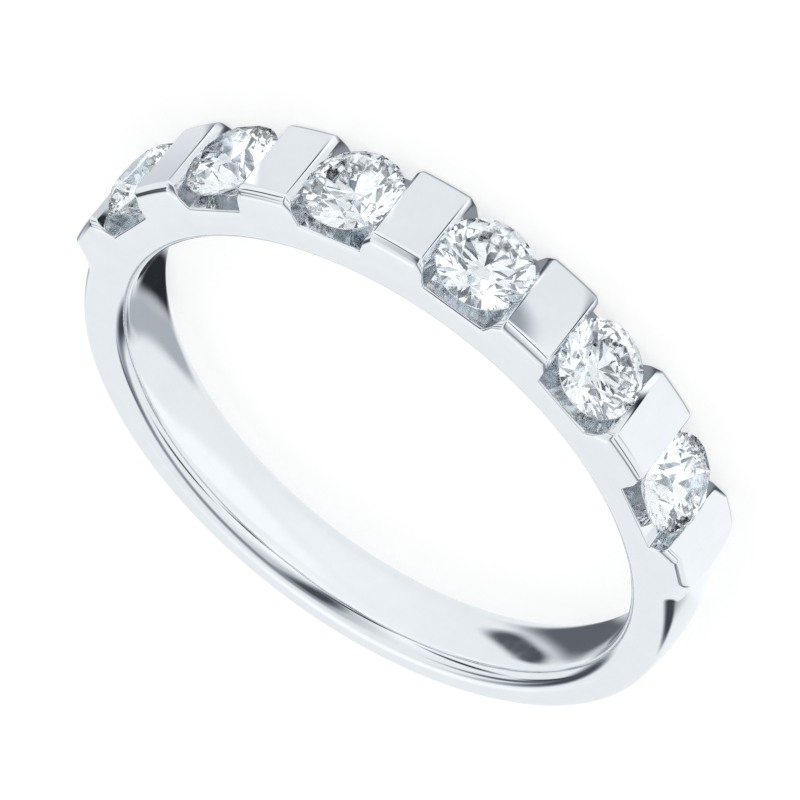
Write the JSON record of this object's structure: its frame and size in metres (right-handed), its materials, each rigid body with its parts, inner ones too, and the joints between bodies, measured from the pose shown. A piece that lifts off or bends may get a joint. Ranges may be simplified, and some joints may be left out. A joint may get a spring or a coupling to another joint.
{
  "type": "half eternity ring",
  "caption": "Half eternity ring: a polished band with round brilliants set between upright bars across its crown.",
  "frame": {"origin": "centre of the finger hole, midway across the band's width", "axes": "+Z along the finger hole, up when the ring lies on its side; -Y out of the middle of the crown; +X across, towards the first bar"},
  "size_m": [0.0206, 0.0205, 0.0028],
  "materials": {
    "white_metal": "mirror polished white gold",
    "diamond": "cut and polished"
  },
  "bodies": {
    "root": {"band": "white_metal", "stone_1": "diamond", "stone_2": "diamond", "stone_3": "diamond", "stone_4": "diamond", "stone_5": "diamond", "stone_6": "diamond"}
  },
  "joints": []
}
